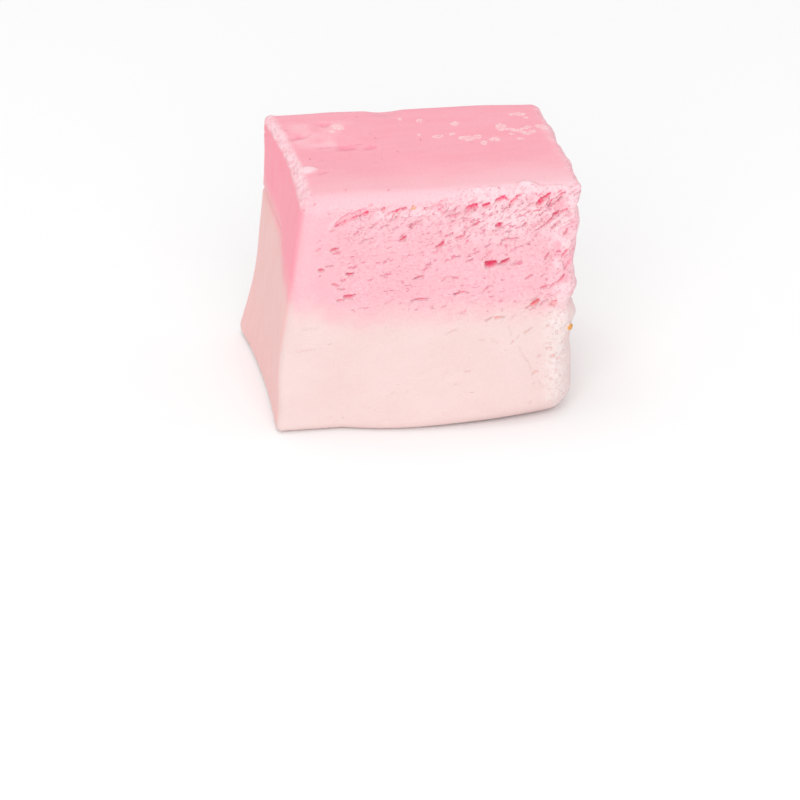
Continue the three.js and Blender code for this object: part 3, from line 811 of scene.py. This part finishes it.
def surface(x, y, z):
    """The block's surface at places on the sharp box. Gives its points, in metres, and the masks
    for the finish."""
    p = Places(x, y, z)
    off, tears, ledges, broken = relief(p)
    moved = p.at + off[..., None] * p.way
    # Tears and their steep walls get painted shade, a saturated pink for light scattered in the fudge.
    full_depth = mix(FULL_SHADE_DEPTH["cream"], FULL_SHADE_DEPTH["pink"], ramp(*FULL_SHADE_DEPTH["z"], p.z))
    hollow_shade = np.clip(tears / full_depth, 0.0, 1.0) ** FULL_SHADE_DEPTH["power"]
    steep = STEEP_WALL_SHADE["share"] * steepness(moved, p.way) * ramp(0.0, STEEP_WALL_SHADE["tear"], tears)
    hollows = p.edge_rub * ramp(*EDGE_RUB["hollows"], edge_lumps(p.x, p.z))
    crumbled = LIP_CRUMBS["broken"] * (p.lip + p.edge) + p.clump + BURR["broken"] * p.burr
    masks = {
        "above_seam": p.above_seam + p.cut * DRAG["height"] * p.dragged,
        "hollow_shade": np.clip(hollow_shade + steep, 0.0, 1.0),
        "pale": paleness(p, ledges),
        "flecks": p.flecks,
        "scored": np.maximum(SCORE["tint"] * ramp(0.0, SCORE["tinted"], p.scores),
                             EDGE_RUB["tint"] * hollows),
        "broken": np.clip(broken + crumbled, 0.0, 1.0),
        # The cut side's skin colour carries painted shade and pink bounce light.
        "skin_and_shade": p.cut + TOP_SKIN_AND_SHADE * p.by_top * (1.0 - MARGIN["bare"] * p.forward ** 2),
        "amber": np.maximum.reduce([near(p.at, spot) for spot in AMBER_SPOTS]),
    }
    low, high = (np.array(corner) for corner in CAD_BOX)
    return np.clip(moved * MM, low, high), masks


# ---- Closed pieces ----

MASKS = ("above_seam", "hollow_shade", "pale", "flecks", "scored", "broken", "skin_and_shade", "amber")


def around():
    """The columns, once round the box from the left front corner, as x and y. A sine crowds them
    towards the corners, where the block is rounded."""
    def crowd(count):
        t = np.arange(count) / count
        return 2.0 * (t - CROWDING * np.sin(4.0 * np.pi * t) / (4.0 * np.pi)) - 1.0
    front, right, back, left = (crowd(COLUMNS[side]) for side in ("front", "right", "back", "left"))
    x = np.concatenate([front, np.ones_like(right), -back, -np.ones_like(left)])
    y = np.concatenate([-np.ones_like(front), right, np.ones_like(back), -left])
    return x * HALF_WIDTH, y * HALF_DEPTH


AROUND_X, AROUND_Y = around()


def wall(rows, low, high):
    """Places up the block's sides: row times column, from the height low to the height high."""
    share = np.linspace(0.0, 1.0, rows + 1)[:, None]
    x, y = AROUND_X + 0.0 * share, AROUND_Y + 0.0 * share
    return x, y, mix(low(x, y), high(x, y), share)


def lid(rows, height):
    """Places over a face that closes the block: rings that shrink evenly from just inside the
    edge's own ring, which the wall has, to almost nothing in the middle."""
    size = mix(1.0, LID_MIDDLE, np.linspace(0.0, 1.0, rows + 1)[1:, None])
    x, y = AROUND_X * size, AROUND_Y * size
    return x, y, height(x, y)


def ground(x, y):
    """Height of the foot."""
    return 0.0 * x


def full_height(x, y):
    """Height of the top face."""
    return 0.0 * x + HEIGHT


def seam_face():
    """The face between the layers, from just inside its edge to its middle."""
    x, y, z = lid(SEAM_ROWS, seam_height)
    return shaped(x, y, z) * MM, {key: 0.0 * x for key in MASKS}


def turned_over(patch):
    """A patch with its rings in the opposite order."""
    points, masks = patch
    return points[::-1], {key: values[::-1] for key, values in masks.items()}


def link(name, data):
    """A new object for that data, in the scene."""
    thing = bpy.data.objects.new(name, data)
    bpy.context.scene.collection.objects.link(thing)
    return thing


def closed_piece(name, patches, seam_ring):
    """A closed mesh from patches laid end to end: quads between all rings and one face on each
    end. The ring on the seam is a sharp edge, so that the side's shading runs straight over it."""
    count = len(AROUND_X)
    points = np.concatenate([points.reshape(-1, 3) for points, _ in patches])
    index = np.arange(len(points)).reshape(-1, count)
    right = np.roll(index, -1, axis=1)
    quads = np.stack([index[:-1], right[:-1], right[1:], index[1:]], axis=-1).reshape(-1, 4)
    mesh = bpy.data.meshes.new(name)
    mesh.from_pydata(points, [], quads.tolist() + [index[0][::-1].tolist(), index[-1].tolist()])
    for key in MASKS:
        values = np.concatenate([masks[key].ravel() for _, masks in patches])
        mesh.attributes.new(key, "FLOAT", "POINT").data.foreach_set("value", values.astype(np.float32))
    mesh.shade_smooth()
    ends = np.zeros(2 * len(mesh.edges), np.int32)
    mesh.edges.foreach_get("vertices", ends)
    on_seam = ((ends // count) == seam_ring).reshape(-1, 2).all(axis=1)
    mesh.attributes.new("sharp_edge", "BOOLEAN", "EDGE").data.foreach_set("value", on_seam)
    mesh.update()
    return link(name, mesh)


def pink_piece():
    """The pink layer: the seam's face from its middle out, the walls up, the top face in."""
    return closed_piece("pink_fudge", [
        turned_over(seam_face()),
        surface(*wall(PINK_ROWS, seam_height, full_height)),
        surface(*lid(TOP_ROWS, full_height)),
    ], SEAM_ROWS)


def cream_piece():
    """The cream layer: the foot from its middle out, the walls up, the seam's face in."""
    return closed_piece("cream_fudge", [
        turned_over(surface(*lid(FOOT_ROWS, ground))),
        surface(*wall(CREAM_ROWS, ground, seam_height)),
        seam_face(),
    ], FOOT_ROWS + CREAM_ROWS)


# ---- Shader node groups ----

def srgb(red, green, blue):
    """A colour as it looks, 0 to 255, turned to linear light."""
    c = np.array([red, green, blue]) / 255.0
    linear = np.where(c <= 0.04045, c / 12.92, ((c + 0.055) / 1.055) ** 2.4)
    return (*linear.tolist(), 1.0)


class Shading:
    """Adds nodes to one node tree and wires them, so that a finish reads as a list of steps."""

    def __init__(self, tree):
        self.tree = tree

    def add(self, kind, values=None, **settings):
        """A node of that kind. values are its inputs, by name or number: a socket is wired to
        them, and anything else is set on them."""
        node = self.tree.nodes.new(kind)
        for setting, value in settings.items():
            setattr(node, setting, value)
        for key, value in (values or {}).items():
            if isinstance(value, bpy.types.NodeSocket):
                self.tree.links.new(value, node.inputs[key])
            else:
                node.inputs[key].default_value = value
        return node

    def math(self, operation, a, b=0.0, c=0.0, clamp=False):
        return self.add("ShaderNodeMath", {0: a, 1: b, 2: c}, operation=operation,
                        use_clamp=clamp).outputs[0]

    def plus(self, a, b, clamp=False):
        return self.math("ADD", a, b, clamp=clamp)

    def minus(self, a, b, clamp=False):
        return self.math("SUBTRACT", a, b, clamp=clamp)

    def times(self, a, b, clamp=False):
        return self.math("MULTIPLY", a, b, clamp=clamp)

    def times_plus(self, a, b, c):
        """a times b, plus c."""
        return self.math("MULTIPLY_ADD", a, b, c)

    def larger(self, a, b):
        return self.math("MAXIMUM", a, b)

    def ramp(self, value, low, high, smooth=True):
        """0 at low and 1 at high, along a smooth step or a straight line."""
        kind = "SMOOTHSTEP" if smooth else "LINEAR"
        return self.add("ShaderNodeMapRange", {"Value": value, "From Min": low, "From Max": high},
                        interpolation_type=kind).outputs["Result"]

    def mix(self, factor, a, b):
        return self.add("ShaderNodeMix", {0: factor, 6: a, 7: b}, data_type="RGBA").outputs[2]

    def noise(self, vector, scale, detail=2.0):
        return self.add("ShaderNodeTexNoise", {"Vector": vector, "Scale": scale, "Detail": detail},
                        noise_dimensions="3D").outputs["Fac"]

    def stretch(self, vector, factors):
        """A vector times a factor of its own in each direction."""
        return self.add("ShaderNodeVectorMath", {0: vector, 1: factors},
                        operation="MULTIPLY").outputs[0]

    def scale(self, vector, factor):
        return self.add("ShaderNodeVectorMath", {0: vector, 3: factor},
                        operation="SCALE").outputs[0]

    def attribute(self, name):
        return self.add("ShaderNodeAttribute", attribute_name=name).outputs["Fac"]


def node_group(name, inputs, outputs):
    """An empty shader node group with its sockets: {name: socket kind}. Gives the group, its
    Shading, its inner inputs and a function that wires an output."""
    tree = bpy.data.node_groups.new(name, "ShaderNodeTree")
    for direction, sockets in (("INPUT", inputs), ("OUTPUT", outputs)):
        for socket, kind in sockets.items():
            tree.interface.new_socket(socket, in_out=direction, socket_type="NodeSocket" + kind)
    inner = tree.nodes.new("NodeGroupInput").outputs
    ends = tree.nodes.new("NodeGroupOutput").inputs

    def give(socket, value):
        tree.links.new(value, ends[socket])

    return tree, Shading(tree), inner, give


# How two poured layers mix: the seam wanders in their colour, and slow bands of mottling deepen
# it. A stretch is the noise's waves for each millimetre along x, y and z.
POURED = {"wander_scale": 0.55, "wander": 2.4, "fade": 2.2,
          "band_stretch": (0.2, 0.8, 0.25), "band_detail": 5.0, "bands": [0.35, 0.7]}

# Thin cracks in the crumb, dark with painted shade. The noise that draws them is flattened, and a
# second one in patches says where they are: above a limit, which falls as their share grows.
CRACK_LINE = {"flatten": (1.0, 0.7, 2.6), "detail": 5.0, "width": [0.05, 0.015]}
CRACK_PATCH = {"stretch": (1.3, 1.3, 1.1), "detail": 2.0, "limit": 0.72, "falls": -0.35, "edge": 0.05}

# The crumb's texture: fine grain all over, coarse lumps, and specks where it is broken.
GRAIN = {"scale": 4.5, "detail": 3.0, "height": 0.3, "range": [0.3, 0.7]}
COARSE = {"scale": 1.7, "detail": 3.0}
SPECKS = {"stretch": (1.0, 1.0, 1.5), "scale": 3.4, "detail": 1.0, "strength": 1.6,
          "dark": [0.6, 0.72], "pale": [0.42, 0.3], "pit": -0.4}


def poured_colour_group():
    """The colour of fudge poured in two layers: they fade into each other over Fade millimetres
    each side of the seam, whose height wanders, and slow mottling deepens the colour in places,
    towards its own square."""
    tree, shade, inner, give = node_group(
        "poured_colour",
        {"Vector": "Vector", "Above Seam": "Float", "Fade": "Float", "Mottle": "Float",
         "Pink": "Color", "Cream": "Color"},
        {"Color": "Color"})
    wander = shade.minus(shade.noise(inner["Vector"], POURED["wander_scale"]), 0.5)
    height = shade.plus(inner["Above Seam"], shade.times(wander, POURED["wander"]))
    share = shade.ramp(height, shade.times(inner["Fade"], -1.0), inner["Fade"])
    plain = shade.mix(share, inner["Cream"], inner["Pink"])
    squared = shade.add("ShaderNodeMix", {0: 1.0, 6: plain, 7: plain}, data_type="RGBA",
                        blend_type="MULTIPLY").outputs[2]
    banded = shade.stretch(inner["Vector"], POURED["band_stretch"])
    slow = shade.ramp(shade.noise(banded, 1.0, POURED["band_detail"]), *POURED["bands"])
    give("Color", shade.mix(shade.times(slow, inner["Mottle"]), plain, squared))
    return tree


def shaded_crumb_cracks_group():
    """Thin jagged cracks where crumb pulled apart, dark with painted shade: the lines along which a
    noise is at its middle value, where a second noise is high. Both are drawn out along a slope and
    flattened across it. Share is how much of the surface may have cracks."""
    tree, shade, inner, give = node_group(
        "shaded_crumb_cracks",
        {"Vector": "Vector", "Slope": "Float", "Length": "Float", "Share": "Float"},
        {"Shaded Cracks": "Float"})
    turned = shade.add("ShaderNodeVectorRotate", {"Vector": inner["Vector"], "Angle": inner["Slope"]},
                       rotation_type="Y_AXIS").outputs["Vector"]
    flat = shade.stretch(turned, CRACK_LINE["flatten"])
    sized = shade.scale(flat, shade.math("DIVIDE", 1.0, inner["Length"]))
    away = shade.math("ABSOLUTE", shade.minus(shade.noise(sized, 1.0, CRACK_LINE["detail"]), 0.5))
    line = shade.ramp(away, *CRACK_LINE["width"])
    limit = shade.times_plus(inner["Share"], CRACK_PATCH["falls"], CRACK_PATCH["limit"])
    patch = shade.noise(shade.stretch(sized, CRACK_PATCH["stretch"]), 1.0, CRACK_PATCH["detail"])
    over = shade.minus(patch, limit)
    give("Shaded Cracks", shade.times(line, shade.ramp(over, 0.0, CRACK_PATCH["edge"])))
    return tree


def crumb_group():
    """The fine texture of sugar crumb: grain a fifth of a millimetre across all over, and where it
    is broken coarser lumps, dark specks and pale ones, where fine noise is highest and lowest."""
    tree, shade, inner, give = node_group(
        "crumb",
        {"Vector": "Vector", "Broken": "Float"},
        {"Height": "Float", "Grain": "Float", "Dark Specks": "Float", "Pale Specks": "Float"})
    grain = shade.noise(inner["Vector"], GRAIN["scale"], GRAIN["detail"])
    coarse = shade.noise(inner["Vector"], COARSE["scale"], COARSE["detail"])
    specks = shade.noise(shade.stretch(inner["Vector"], SPECKS["stretch"]),
                         SPECKS["scale"], SPECKS["detail"])
    strength = shade.times(inner["Broken"], SPECKS["strength"], clamp=True)
    dark = shade.times(shade.ramp(specks, *SPECKS["dark"]), strength)
    lit = shade.times(shade.ramp(specks, *SPECKS["pale"]), strength)
    height = shade.times_plus(coarse, inner["Broken"], shade.times(grain, GRAIN["height"]))
    give("Height", shade.times_plus(dark, SPECKS["pit"], height))
    give("Grain", shade.ramp(grain, *GRAIN["range"], smooth=False))
    give("Dark Specks", dark)
    give("Pale Specks", lit)
    return tree


# ---- Materials ----

# Each layer's colours: as broken; under the skin of the top and the cut side, which on the cut side
# is darkened and reddened with painted shade and pink bounce light; paler at edges; painted shade
# deep in a tear; and dark in specks, scores and thin cracks, painted shade in the cracks. Mottle is
# how much slow bands deepen each.
COLOURS = {
    "plain": [srgb(239, 182, 192), srgb(232, 206, 203)],
    "skin_and_shade": [srgb(253, 156, 173), srgb(243, 195, 192)],
    "pale": [srgb(250, 212, 218), srgb(236, 222, 220)],
    "hollow_shade": [srgb(246, 94, 141), srgb(248, 150, 142)],
    "mark": [srgb(236, 118, 146), srgb(230, 180, 175)],
}
MOTTLE = {"plain": 0.12, "skin_and_shade": 0.14, "pale": 0.0, "hollow_shade": 0.3, "mark": 0.0}
AMBER = srgb(226, 160, 84)
SUGAR = srgb(247, 213, 214)

# Thin cracks, dark with painted shade, lie shallow wherever the crumb is broken, and steep where it
# is worst.
THIN_SHADED_CRACKS = {"slope": 12, "length": 1.5, "broken": [0.0, 0.35], "share": 0.3, "least": 0.004}
STEEP_SHADED_CRACKS = {"slope": 33, "length": 1.3, "broken": [0.4, 1.0], "share": 0.5}

# Shares of what lies over the plain colour. A fleck is a ring, worn through in the middle and
# broken up by the grain. A tear's painted shade is ragged by the grain and mostly crisp at its edge,
# and it turns pink this far above the seam. Amber has a ragged edge.
PALE_PATCH = {"scale": 0.75, "range": [0.35, 0.55], "share": 0.75}
PALE_SPECKS = 0.5
DARK = {"shaded_cracks": 0.75, "specks": 0.35, "grain_range": [0.45, 1.0], "grain": 0.12}
FLECK = {"shaken": [0.0, 0.15], "shake": 0.7, "ring": [0.16, 0.28], "middle": [0.5, 0.7],
         "share": 0.9, "worn": -0.45, "grain_range": [0.3, 0.65], "grain": 0.6, "least": 0.4}
TEAR_SHADE = {"grain": 1.2, "least": 0.4, "edge": [0.2, 0.7], "crisp": 0.6, "above_seam": 1.2}
AMBER_EDGE = {"shake": 0.4, "edge": [0.2, 0.7]}
ROUGH = {"plain": 0.5, "broken": 0.2, "grain": 0.1}
BUMP = {"height": 0.12, "shaded_cracks": -0.35}


def fudge_material(name, groups):
    """One layer's finish. Both layers have the same, so that they agree along the seam."""
    material = bpy.data.materials.new(name)
    material.use_nodes = True
    shader = material.node_tree.nodes["Principled BSDF"]
    shade = Shading(material.node_tree)
    place = shade.scale(shade.add("ShaderNodeTexCoord").outputs["Object"], 1.0 / MM)
    seam, hollow_shade, pale, flecks, scored, broken, skin_and_shade, amber = (shade.attribute(key) for key in MASKS)

    def group(kind, **values):
        return shade.add("ShaderNodeGroup", node_tree=groups[kind], values={
            key.replace("_", " "): value for key, value in values.items()}).outputs

    def poured(key, height=seam):
        pink, cream = COLOURS[key]
        return group("poured_colour", Vector=place, Above_Seam=height, Fade=POURED["fade"],
                     Mottle=MOTTLE[key], Pink=pink, Cream=cream)["Color"]

    def shaded_cracks_in(kind, share):
        return group("shaded_crumb_cracks", Vector=place, Slope=math.radians(kind["slope"]),
                     Length=kind["length"], Share=share)["Shaded Cracks"]

    def shaken(mask, push):
        return shade.plus(mask, shade.times(shade.minus(grain, 0.5), push))

    crumb = group("crumb", Vector=place, Broken=broken)
    grain = crumb["Grain"]
    worst = shade.ramp(broken, *STEEP_SHADED_CRACKS["broken"])
    thin = shade.ramp(broken, *THIN_SHADED_CRACKS["broken"])
    # Thin cracks, whose dark colour is painted shade.
    shaded_cracks = shade.larger(
        shaded_cracks_in(THIN_SHADED_CRACKS, shade.times_plus(thin, THIN_SHADED_CRACKS["share"], THIN_SHADED_CRACKS["least"])),
        shaded_cracks_in(STEEP_SHADED_CRACKS, shade.times(worst, STEEP_SHADED_CRACKS["share"])))
    shaded_cracks = shade.times(shaded_cracks, shade.minus(1.0, pale, clamp=True))

    patch = shade.ramp(shade.noise(place, PALE_PATCH["scale"]), *PALE_PATCH["range"])
    pale = shade.larger(pale, shade.times(shade.times(worst, patch), PALE_PATCH["share"]))
    pale = shade.larger(pale, shade.times(crumb["Pale Specks"], PALE_SPECKS))
    dark = shade.larger(
        shade.times(shaded_cracks, DARK["shaded_cracks"]),
        shade.times_plus(crumb["Dark Specks"], DARK["specks"],
                         shade.times(shade.ramp(grain, *DARK["grain_range"]), DARK["grain"])))
    fleck = shaken(flecks, shade.times(shade.ramp(flecks, *FLECK["shaken"]), FLECK["shake"]))
    ring = shade.times(
        shade.ramp(fleck, *FLECK["ring"]),
        shade.times_plus(shade.ramp(fleck, *FLECK["middle"]), FLECK["worn"], FLECK["share"]))
    ring = shade.times(ring, shade.times_plus(shade.ramp(grain, *FLECK["grain_range"]),
                                              FLECK["grain"], FLECK["least"]))
    dark = shade.plus(dark, shade.times(scored, shade.plus(grain, 0.5)), clamp=True)
    # Painted shade in the tears, ragged by the grain and mostly crisp at its edge.
    ragged_shade = shade.times(hollow_shade, shade.times_plus(grain, TEAR_SHADE["grain"], TEAR_SHADE["least"]))
    torn = shade.times_plus(shade.ramp(ragged_shade, *TEAR_SHADE["edge"]), TEAR_SHADE["crisp"],
                            shade.times(ragged_shade, 1.0 - TEAR_SHADE["crisp"]))

    # The skin colour: on the cut side darker and pinker with painted shade and pink bounce light.
    colour = shade.mix(skin_and_shade, poured("plain"), poured("skin_and_shade"))
    colour = shade.mix(pale, colour, poured("pale"))
    colour = shade.mix(dark, colour, poured("mark"))
    colour = shade.mix(ring, colour, SUGAR)
    colour = shade.mix(torn, colour, poured("hollow_shade", shade.minus(seam, TEAR_SHADE["above_seam"])))
    colour = shade.mix(shade.ramp(shaken(amber, AMBER_EDGE["shake"]), *AMBER_EDGE["edge"]),
                       colour, AMBER)
    rough = shade.plus(shade.times(broken, ROUGH["broken"]), shade.times(grain, ROUGH["grain"]))
    rough = shade.plus(rough, ROUGH["plain"], clamp=True)
    height = shade.times_plus(shaded_cracks, BUMP["shaded_cracks"], crumb["Height"])
    bump = shade.add("ShaderNodeBump", {"Height": height, "Strength": 1.0,
                                        "Distance": BUMP["height"] * MM})
    for socket, value in (("Base Color", colour), ("Roughness", rough),
                          ("Normal", bump.outputs["Normal"])):
        material.node_tree.links.new(value, shader.inputs[socket])
    return material


# ---- Room ----

CAMERA = {"azimuth": -10.6, "elevation": 28.0, "distance": 750.0, "aim": (-1.165, -1.045, -2.508),
          "view_width": 83.2, "sensor": 36.0, "clip": [0.01, 20.0]}

# In metres and watts.
FLOOR = {"reach": 4.0, "Base Color": (0.97, 0.97, 0.97, 1.0), "Roughness": 0.9,
         "Specular IOR Level": 0.1}
SOFTBOXES = {
    "front_softbox": {"place": (-0.10, -0.44, 0.30), "size": 0.45, "watts": 1.29},
    "overhead_softbox": {"place": (-0.05, 0.10, 0.50), "size": 0.30, "watts": 0.40},
}
WORLD = {"Color": (1.0, 1.0, 1.0, 1.0), "Strength": 0.72}


def camera():
    """The camera looks at the cube from the front, a little from its left and from above."""
    azimuth, elevation = math.radians(CAMERA["azimuth"]), math.radians(CAMERA["elevation"])
    way = Vector((math.sin(azimuth) * math.cos(elevation),
                  -math.cos(azimuth) * math.cos(elevation), math.sin(elevation)))
    data = bpy.data.cameras.new("camera")
    data.sensor_width = CAMERA["sensor"]
    data.lens = CAMERA["sensor"] * CAMERA["distance"] / CAMERA["view_width"]
    data.clip_start, data.clip_end = CAMERA["clip"]
    eye = link("camera", data)
    eye.location = (Vector(CAMERA["aim"]) + way * CAMERA["distance"]) * MM
    eye.rotation_euler = way.to_track_quat("Z", "Y").to_euler()
    bpy.context.scene.camera = eye


def floor():
    """A plain pale plate under the cube."""
    mesh = bpy.data.meshes.new("floor")
    reach = FLOOR["reach"]
    mesh.from_pydata([(-reach, -reach, 0), (reach, -reach, 0), (reach, reach, 0), (-reach, reach, 0)],
                     [], [(0, 1, 2, 3)])
    plate = link("floor", mesh)
    material = bpy.data.materials.new("floor")
    material.use_nodes = True
    shader = material.node_tree.nodes["Principled BSDF"]
    for socket in ("Base Color", "Roughness", "Specular IOR Level"):
        shader.inputs[socket].default_value = FLOOR[socket]
    mesh.materials.append(material)


def lights():
    """Square softboxes that face the middle of the cube, in a bright white room."""
    middle = Vector((0.0, 0.0, HEIGHT / 2.0 * MM))
    for name, box in SOFTBOXES.items():
        data = bpy.data.lights.new(name, "AREA")
        data.shape = "SQUARE"
        data.size = box["size"]
        data.energy = box["watts"]
        lamp = link(name, data)
        lamp.location = box["place"]
        lamp.rotation_euler = (Vector(box["place"]) - middle).to_track_quat("Z", "Y").to_euler()
    world = bpy.data.worlds.new("studio")
    world.use_nodes = True
    for socket, value in WORLD.items():
        world.node_tree.nodes["Background"].inputs[socket].default_value = value
    bpy.context.scene.world = world


# ---- Everything together ----

camera()
floor()
lights()
bpy.context.scene.view_settings.view_transform = "Standard"

GROUPS = {"poured_colour": poured_colour_group(), "shaded_crumb_cracks": shaded_crumb_cracks_group(),
          "crumb": crumb_group()}
for piece, node in ((pink_piece(), "pink_layer"), (cream_piece(), "cream_layer")):
    piece.data.materials.append(fudge_material(piece.name, GROUPS))
    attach(piece, "root")
    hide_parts(node)
